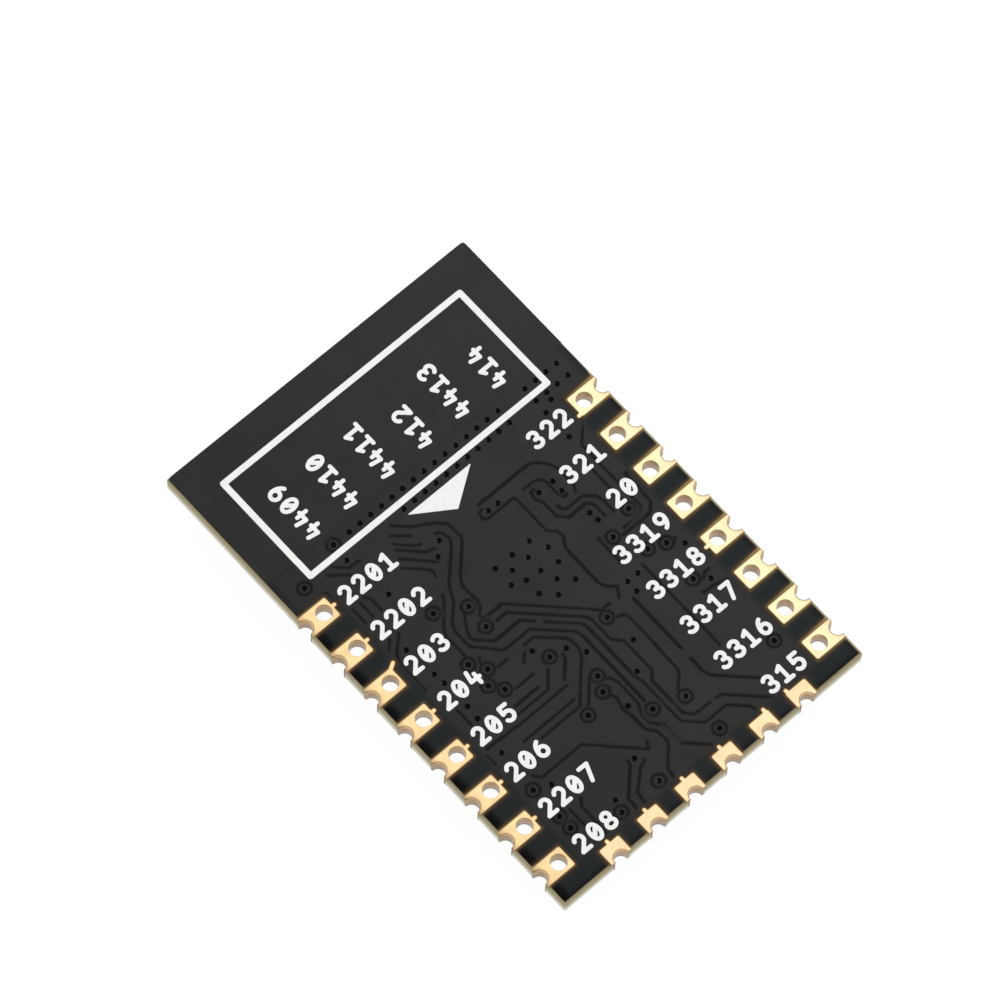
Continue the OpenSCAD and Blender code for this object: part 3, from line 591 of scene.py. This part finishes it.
def pad_gaps(n, u):
    """Gaps beside pad n in its own frame: at +Y, at -Y and at its inner end."""
    if is_end(n):
        return GAPS_END
    if n <= SIDE_PADS:
        return GAPS_LEFT
    far, near, inner = GAPS_RIGHT
    return (near, far + RIGHT_WEDGE * np.clip(1 - u / SIDE_PAD[0], 0, 1), inner)


def opening_distance(x, y):
    """Distance from the nearest pad's opening in the mask."""
    distance = np.full(x.shape, 1.0)
    for n in range(1, PAD_COUNT + 1):
        length, width = pad_size(n)
        inward = np.array(pad_frame(n).inverted())
        u = inward[0, 0] * x + inward[0, 1] * y + inward[0, 3]
        v = inward[1, 0] * x + inward[1, 1] * y + inward[1, 3]
        upper, lower, inner = pad_gaps(n, u)
        half = ((length + inner + length) / 2, (width + upper + lower) / 2)
        opening = round_box(u, v, ((length + inner - length) / 2, (upper - lower) / 2), half,
            MASK_CORNER_R)
        ends = neck_ends(n)
        if ends is not None:
            opening = np.minimum(opening, capsule(u, v, *ends, NECK_R))
        distance = np.minimum(distance, opening)
    return distance


def border_distance(x, y):
    """Distance into the mask from its edge along the board's border."""
    low = smooth_step((FIRST_PAD_Y + SIDE_PAD[1] - y) / (0.3 * MM))
    right = PULL_FAR + (PULL_RIGHT - PULL_FAR) * low
    return np.minimum(np.minimum(BOARD_X - PULL_LEFT + x, BOARD_X - right - x),
        np.minimum(BOARD_Y - PULL_FAR - y, BOARD_Y - PULL_END + y))


def find_vias():
    """Middles of the vias: their floors are the lowest vertices of the CAD mask but its foot."""
    mesh = nodes["solder_mask"].data
    heights = np.array([v.co.z for v in mesh.vertices])
    floor = LAMINATE_TOP + 0.015 * MM
    points = [v.co.xy for v in mesh.vertices if abs(v.co.z - floor) < 0.002 * MM]
    groups = []
    for point in points:
        for group in groups:
            if (group[0] - point).length < 0.25 * MM:
                group.append(point)
                break
        else:
            groups.append([point])
    return [((min(p.x for p in g) + max(p.x for p in g)) / 2,
        (min(p.y for p in g) + max(p.y for p in g)) / 2) for g in groups]


def via_edge(x, y):
    """Distance to the nearest via's rim."""
    nearest = np.full(x.shape, 1.0)
    for vx, vy in VIAS:
        near = (np.abs(x - vx) < 1 * MM) & (np.abs(y - vy) < 1 * MM)
        nearest[near] = np.minimum(nearest[near], np.hypot(x[near] - vx, y[near] - vy) - VIA_R)
    return nearest


def cad_heights(x, y, node):
    """Height of a CAD node's top surface over each point, or zero where there is none."""
    mesh = nodes[node].data
    verts = [v.co for v in mesh.vertices]
    tree = BVHTree.FromPolygons(verts, [p.vertices for p in mesh.polygons])
    down = Vector((0, 0, -1))
    heights = np.zeros(x.size)
    for i, (px, py) in enumerate(zip(x.ravel(), y.ravel())):
        hit = tree.ray_cast(Vector((px, py, 5 * MM)), down)[0]
        if hit is not None:
            heights[i] = hit.z
    return heights.reshape(x.shape)


def cell_middles(values):
    return (values[:-1, :-1] + values[1:, :-1] + values[:-1, 1:] + values[1:, 1:]) / 4


def cut_grid(x, y, d, step):
    """Cells of a grid where d is negative, with the rim's vertices moved onto d = 0.

    Returns the moved x and y, the used cells and the rim."""
    slope_y, slope_x = np.gradient(d, step)
    size = np.maximum(np.hypot(slope_x, slope_y), 0.3)
    used = cell_middles(d) < 0
    touched, open_sides = np.zeros(d.shape, bool), np.zeros(d.shape, bool)
    for rows in (slice(0, -1), slice(1, None)):
        for columns in (slice(0, -1), slice(1, None)):
            touched[rows, columns] |= used
            open_sides[rows, columns] |= ~used
    rim = touched & open_sides
    shift = np.clip(np.where(rim, d, 0) / size ** 2, -1.2 * step, 1.2 * step)
    return x - shift * slope_x, y - shift * slope_y, used, rim


def mask_sheet(name, box, step):
    """The mask over one part of the board, as one soft sheet with crisp edges."""
    low_x, low_y, high_x, high_y = box
    columns = int(round((high_x - low_x) / step)) + 1
    rows = int(round((high_y - low_y) / step)) + 1
    x, y = np.meshgrid(np.linspace(low_x, high_x, columns), np.linspace(low_y, high_y, rows))
    level = LAMINATE_TOP + COAT_T / 2
    raw = cad_heights(x, y, "solder_mask")
    raw[via_edge(x, y) < 0.05 * MM] = PAD_TOP
    raw[raw < level] = level
    high = (raw > level + COAT_T / 4).astype(float)
    round_copper = soften(high, 0.22 * MM / step)
    # Gaps round the tracks: darkened in the mask's colour partly for the bare laminate under them
    # and partly as painted shade.
    groove_shade = (1 - high) * smooth_step((round_copper - 0.42) / 0.2)
    bare = soften((1 - high) * (1 - groove_shade) * (y < ZONE_Y), 0.12 * MM / step)
    # Painted shade along the mask's borders.
    edge = painted_edge_shade(x, y)
    relief = soften(raw, 0.03 * MM / step)
    from_pads = opening_distance(x, y)
    fringe = np.exp(-np.maximum(from_pads, 0) / FRINGE_W)
    distance = np.minimum(from_pads, border_distance(x, y))
    moved_x, moved_y, used, rim = cut_grid(x, y, np.maximum(-distance, -via_edge(x, y)), step)
    foot = rim & (distance < step) & (np.abs(distance) < via_edge(x, y))
    z = np.where(foot, LAMINATE_TOP + 0.006 * MM, relief)
    verts = np.stack([moved_x, moved_y, z], axis=-1).reshape(-1, 3)
    verts, quads, kept = compact(verts, grid_faces(rows, columns, used))
    piece = add_piece(name, verts, quads, MASK)
    # The shares for the gaps round the tracks and for the borders carry painted shade into the
    # mask's colour.
    for key, values in (("bare", bare), ("groove_shade", soften(groove_shade, 0.5)), ("edge", edge),
            ("fringe", fringe)):
        layer = piece.data.attributes.new(key, "FLOAT", "POINT")
        layer.data.foreach_set("value", np.clip(values.ravel()[kept], 0, 1).astype(np.float32))
    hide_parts("solder_mask")
    return piece


def painted_edge_shade(x, y):
    """Painted shade that blackens the mask at its rim: along the left side and between the pads.
    """
    below_zone = smooth_step((4.3 * MM - y) / (0.3 * MM))
    left = smooth_step((-BOARD_X + 0.62 * MM - x) / (0.36 * MM)) * below_zone
    right = smooth_step((x - BOARD_X + 0.45 * MM) / (0.25 * MM)) * below_zone
    end = smooth_step((-BOARD_Y + 0.42 * MM - y) / (0.25 * MM))
    return np.maximum(left, np.maximum(0.35 * right, 0.5 * end))


def via_wells():
    """The covered vias: black cups in the mask's openings, each with a painted glint on the side
    towards the light.
    """
    # Each ring: its share of the via's radius, its depth in millimetres and the strength of its
    # painted glint.
    profile = [(1.06, -0.004, 0.6), (0.8, -0.012, 0.9), (0.5, -0.028, 0.2), (0.2, -0.035, 0)]
    steps = 18
    toward_light = math.radians(138)
    verts, faces, painted_glints = [], [], []
    for vx, vy in VIAS:
        first = len(verts)
        for share, depth, painted_glint in profile:
            ring = arc((vx, vy), share * VIA_R, 0, 360, steps)[:-1]
            verts += [(px, py, PAD_TOP + depth * MM) for px, py in ring]
            painted_glints += [painted_glint * max(math.cos(2 * math.pi * i / steps - toward_light), 0) ** 6
                for i in range(steps)]
        for ring in range(len(profile) - 1):
            for i in range(steps):
                j = (i + 1) % steps
                a, b = first + ring * steps, first + (ring + 1) * steps
                faces.append((a + i, a + j, b + j, b + i))
        faces.append([first + (len(profile) - 1) * steps + i for i in range(steps)])
    piece = add_piece("via_wells", verts, faces, WELL)
    piece.data.attributes.new("painted_glint", "FLOAT", "POINT").data.foreach_set("value", painted_glints)


FIRST_PAD_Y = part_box("pad_1")[0].y + SIDE_PAD[1] / 2
ZONE_Y = 6.0 * MM
FRINGE_W = 0.05 * MM
VIAS = find_vias()
mask_sheet("mask_left", (-BOARD_X, -BOARD_Y, 0, ZONE_Y), MASK_STEP)
mask_sheet("mask_right", (0, -BOARD_Y, BOARD_X, ZONE_Y), MASK_STEP)
mask_sheet("mask_over_antenna", (-BOARD_X, ZONE_Y, BOARD_X, BOARD_Y), 2 * MASK_STEP)
via_wells()


# ---- Print ----

def ink_piece(name, distance, low, high, replaced=()):
    """Ink where distance(x, y) is negative, as a thin film with a soft edge over the mask."""
    columns = int((high[0] - low[0]) / INK_STEP) + 2
    rows = int((high[1] - low[1]) / INK_STEP) + 2
    x, y = np.meshgrid(low[0] + INK_STEP * np.arange(columns), low[1] + INK_STEP * np.arange(rows))
    d = distance(x, y)
    x, y, used, rim = cut_grid(x, y, d, INK_STEP)
    film = np.where(rim, 0.25, 0.25 + 0.75 * smooth_step(-d / (0.05 * MM)))
    z = mask_height(x, y) + INK_T * film
    verts = np.stack([x, y, z], axis=-1).reshape(-1, 3)
    verts, quads, _ = compact(verts, grid_faces(d.shape[0], d.shape[1], used))
    piece = add_piece(name, verts, quads, INK)
    if replaced:
        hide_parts(*replaced)
    return piece


def mask_height(x, y):
    """Level of the mask under the print: higher over the copper."""
    rise = smooth_step((COPPER_END_Y - y) / (0.1 * MM) + 0.5)
    return LAMINATE_TOP + COAT_T / 2 + COAT_T / 2 * rise


def box_distance(x, y, centre, half):
    dx = np.abs(x - centre[0]) - half[0]
    dy = np.abs(y - centre[1]) - half[1]
    return np.hypot(np.maximum(dx, 0), np.maximum(dy, 0)) + np.minimum(np.maximum(dx, dy), 0)


def stroke_distance(x, y, strokes, width):
    """Distance to the nearest of some polylines, drawn with a round pen."""
    nearest = np.full(x.shape, 1.0)
    for points in strokes:
        for (ax, ay), (bx, by) in zip(points, points[1:]):
            ex, ey = bx - ax, by - ay
            t = ((x - ax) * ex + (y - ay) * ey) / (ex * ex + ey * ey)
            t = np.clip(t, 0, 1)
            nearest = np.minimum(nearest, np.hypot(x - ax - t * ex, y - ay - t * ey))
    return nearest - width / 2


def widened(low, high):
    """Corners of a print's box, two cells of the ink's grid further out."""
    spare = 2 * INK_STEP
    return (low.x - spare, low.y - spare), (high.x + spare, high.y + spare)


LINE_W = 0.27 * MM


def make_frame():
    low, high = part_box("printed_frame")
    centre = ((low.x + high.x) / 2, (low.y + high.y) / 2)
    half = ((high.x - low.x - LINE_W) / 2, (high.y - low.y - LINE_W) / 2)

    def distance(x, y):
        return np.abs(box_distance(x, y, centre, half)) - LINE_W / 2

    ink_piece("frame_print", distance, *widened(low, high), ("printed_frame",))


def make_triangle():
    low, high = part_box("printed_triangle")
    corner = 0.03 * MM
    lean = math.atan2((high.x - low.x) / 2, high.y - low.y)
    middle = (low.x + high.x) / 2

    def distance(x, y):
        side = np.abs(x - middle) * math.cos(lean) - (y - low.y) * math.sin(lean)
        return np.maximum(side + corner, y - high.y + corner) - corner

    ink_piece("triangle_print", distance, *widened(low, high), ("printed_triangle",))


def bend(centre_x, centre_y, radius_x, radius_y, start, end):
    """Part of an ellipse as a polyline, in a cell one unit high."""
    steps = max(3, int(abs(end - start) / 15))
    angles = np.radians(np.linspace(start, end, steps + 1))
    return [(centre_x + radius_x * math.cos(a), centre_y + radius_y * math.sin(a)) for a in angles]


# Each figure's strokes, in a cell one unit high and 0.6 wide between the pen's middles
FIGURES = {
    "0": [bend(0.3, 0.5, 0.3, 0.5, 0, 360), [(0.2, 0.36), (0.4, 0.64)]],
    "1": [[(0.04, 0.8), (0.32, 1.0), (0.32, 0.0)], [(0.04, 0.0), (0.6, 0.0)]],
    "2": [bend(0.3, 0.7, 0.28, 0.3, 160, -30) + [(0.02, 0.0), (0.6, 0.0)]],
    "3": [bend(0.28, 0.75, 0.27, 0.25, 150, -90), bend(0.28, 0.26, 0.31, 0.26, 90, -150)],
    "4": [[(0.14, 1.0), (0.02, 0.36), (0.62, 0.36)], [(0.46, 0.66), (0.46, 0.0)]],
    "5": [[(0.56, 1.0), (0.08, 1.0), (0.06, 0.56)] + bend(0.28, 0.31, 0.31, 0.31, 120, -145)],
    "6": [bend(0.31, 0.3, 0.29, 0.3, 0, 360), bend(0.54, 0.3, 0.53, 0.72, 110, 180)],
    "7": [[(0.02, 1.0), (0.6, 1.0), (0.2, 0.0)]],
    "8": [bend(0.3, 0.75, 0.25, 0.25, 0, 360), bend(0.3, 0.25, 0.3, 0.25, 0, 360)],
    "9": [bend(0.29, 0.7, 0.29, 0.3, 0, 360), bend(0.06, 0.7, 0.53, 0.72, -70, 0)],
}
FIGURE_H = 0.69 * MM
FIGURE_STEP = 0.72 * MM
PEN_W = 0.178 * MM


def make_number(name, text, corner, turn):
    """A number whose first figure stands at corner, turned by turn degrees."""
    cos, sin = math.cos(math.radians(turn)), math.sin(math.radians(turn))
    strokes = []
    for place, figure in enumerate(text):
        for points in FIGURES[figure]:
            local = [(px * FIGURE_H + place * FIGURE_STEP, py * FIGURE_H) for px, py in points]
            strokes.append([(corner[0] + cos * a - sin * b, corner[1] + sin * a + cos * b)
                for a, b in local])
    ends = np.array([p for points in strokes for p in points])
    spare = PEN_W / 2 + 2 * INK_STEP
    low, high = ends.min(axis=0) - spare, ends.max(axis=0) + spare
    ink_piece(name, lambda x, y: stroke_distance(x, y, strokes, PEN_W), low, high)


def pad_number(n, row, figures):
    """Plain number of a pad: its count round the board, after the figure of its row."""
    return f"{row}{row}{n:02d}"[-figures:]


def number_run(figures):
    return (figures - 1) * FIGURE_STEP + 0.6 * FIGURE_H


LEFT_FIGURES = (4, 4, 3, 3, 3, 3, 4, 3)
RIGHT_FIGURES = (3, 4, 4, 4, 4, 2, 3, 3)
END_FIGURES = (4, 4, 4, 3, 4, 3)
LABEL_X = 6.0 * MM
END_LABEL_Y = 6.25 * MM

make_frame()
make_triangle()
for number, figures in enumerate(LEFT_FIGURES, 1):
    y = pad_frame(number).translation.y - FIGURE_H / 2
    make_number(f"number_{number}", pad_number(number, 2, figures), (-LABEL_X, y), 0)
for number, figures in enumerate(RIGHT_FIGURES, SIDE_PADS + END_PADS + 1):
    y = pad_frame(number).translation.y - FIGURE_H / 2
    x = LABEL_X - number_run(figures)
    make_number(f"number_{number}", pad_number(number, 3, figures), (x, y), 0)
for number, figures in enumerate(END_FIGURES, SIDE_PADS + 1):
    x = pad_frame(number).translation.x + FIGURE_H / 2
    make_number(f"number_{number}", pad_number(number, 4, figures), (x, END_LABEL_Y), 90)


# ---- Carried-over nodes ----

def dress(material, *names):
    for name in names:
        slots = nodes[name].data.materials
        slots.clear()
        slots.append(material)


dress(LAMINATE, "printed_circuit_board")
dress(MASK, "component_mask")
dress(GOLD, "antenna", "shield_ring", "lamp_contacts")
dress(TIN, "shield_can", "crystal_lid")
dress(EPOXY, "radio_chip", "flash_body", "resistor_1", "resistor_2", "lamp_resistor")
dress(SOLDER, "flash_leads", "solder_lands")
dress(PALE_CERAMIC, "crystal_base", "lamp_base")
dress(CERAMIC, "matching_capacitor", *[f"capacitor_{k}" for k in range(1, 9)])
dress(COIL_CERAMIC, "matching_coil")
dress(LENS, "lamp_lens")


# ---- Floor, light and camera ----

def make_floor():
    """White floor: bright to the camera, and it keeps the module's soft shadow."""
    m = Nodes("floor_white")
    m.set(Roughness=0.9)
    m.join(m.ramp(m.noise(40 * MM), (0.3, (0.88, 0.88, 0.88)), (0.7, (0.9, 0.9, 0.9))),
        m.shader.inputs["Base Color"])
    ray = m.add("ShaderNodeLightPath")
    seen = ray.outputs["Is Camera Ray"]
    for kind in ("Is Glossy Ray", "Is Transmission Ray"):
        either = m.add("ShaderNodeMath", operation="MAXIMUM")
        m.join(seen, either.inputs[0])
        m.join(ray.outputs[kind], either.inputs[1])
        seen = either.outputs[0]
    share = m.add("ShaderNodeMath", operation="MULTIPLY")
    m.join(seen, share.inputs[0])
    share.inputs[1].default_value = 0.9
    glow = m.add("ShaderNodeEmission", Strength=1.05)
    mixed = m.add("ShaderNodeMixShader")
    m.join(share.outputs[0], mixed.inputs["Fac"])
    m.join(m.shader.outputs["BSDF"], mixed.inputs[1])
    m.join(glow.outputs["Emission"], mixed.inputs[2])
    m.join(mixed.outputs["Shader"], m.tree.nodes["Material Output"].inputs["Surface"])
    reach = 4.0
    verts = [(-reach, -reach, 0), (reach, -reach, 0), (reach, reach, 0), (-reach, reach, 0)]
    mesh = bpy.data.meshes.new("floor")
    mesh.from_pydata(verts, [], [(0, 1, 2, 3)])
    floor = bpy.data.objects.new("floor", mesh)
    bpy.context.scene.collection.objects.link(floor)
    mesh.materials.append(m.material)


def make_lamp(name, place, target, size, power):
    lamp = bpy.data.lights.new(name, "AREA")
    lamp.shape = "DISK"
    lamp.size = size
    lamp.energy = power
    holder = bpy.data.objects.new(name, lamp)
    bpy.context.scene.collection.objects.link(holder)
    holder.location = place
    holder.rotation_euler = (Vector(target) - Vector(place)).to_track_quat("-Z", "Y").to_euler()


def make_light():
    """White surroundings that are dimmer high up on the near side, and one broad lamp."""
    world = bpy.data.worlds.new("studio")
    bpy.context.scene.world = world
    world.use_nodes = True
    tree = world.node_tree

    def add(kind, *joined, operation=None):
        node = tree.nodes.new(kind)
        if operation:
            node.operation = operation
        for socket, value in zip(node.inputs, joined):
            if isinstance(value, bpy.types.NodeSocket):
                tree.links.new(value, socket)
            else:
                socket.default_value = value
        return node

    toward = add("ShaderNodeTexCoord").outputs["Generated"]
    far = add("ShaderNodeVectorMath", toward, (0.55, 0.55, 0.63), operation="DOT_PRODUCT")
    ramp = add("ShaderNodeValToRGB", far.outputs["Value"])
    ramp.color_ramp.elements[0].position = 0.15
    ramp.color_ramp.elements[0].color = (0.78, 0.79, 0.80, 1)
    ramp.color_ramp.elements[1].position = 0.95
    ramp.color_ramp.elements[1].color = (1.0, 1.0, 1.0, 1)
    split = add("ShaderNodeSeparateXYZ", toward)
    low = add("ShaderNodeMapRange", split.outputs["Z"], 0.08, 0.4, 1.0, 0.0)
    mixed = add("ShaderNodeMix")
    mixed.data_type = "RGBA"
    tree.links.new(low.outputs[0], mixed.inputs[0])
    tree.links.new(ramp.outputs["Color"], mixed.inputs[6])
    mixed.inputs[7].default_value = (1, 1, 1, 1)
    tree.links.new(mixed.outputs[2], tree.nodes["Background"].inputs["Color"])
    tree.nodes["Background"].inputs["Strength"].default_value = 1.0
    make_lamp("overhead", (0.14, 0.16, 0.42), (0, 0, 0), 0.4, 0.2)


def make_camera():
    """The photograph's view: from the front left, 68 degrees above the floor."""
    back = Vector((-0.2661, -0.2669, 0.9263))
    up = Vector((0.6114, 0.6962, 0.3762))
    right = up.cross(back)
    camera = bpy.data.cameras.new("camera")
    camera.sensor_width = 36
    camera.lens = 238.3
    camera.clip_start = 0.01
    camera.clip_end = 10
    holder = bpy.data.objects.new("camera", camera)
    bpy.context.scene.collection.objects.link(holder)
    turn = Matrix((right, up, back)).transposed().to_4x4()
    holder.matrix_world = Matrix.Translation(Vector((-69.31, -68.55, 249.56)) * MM) @ turn
    bpy.context.scene.camera = holder


make_floor()
make_light()
make_camera()
bpy.context.scene.view_settings.view_transform = "Standard"
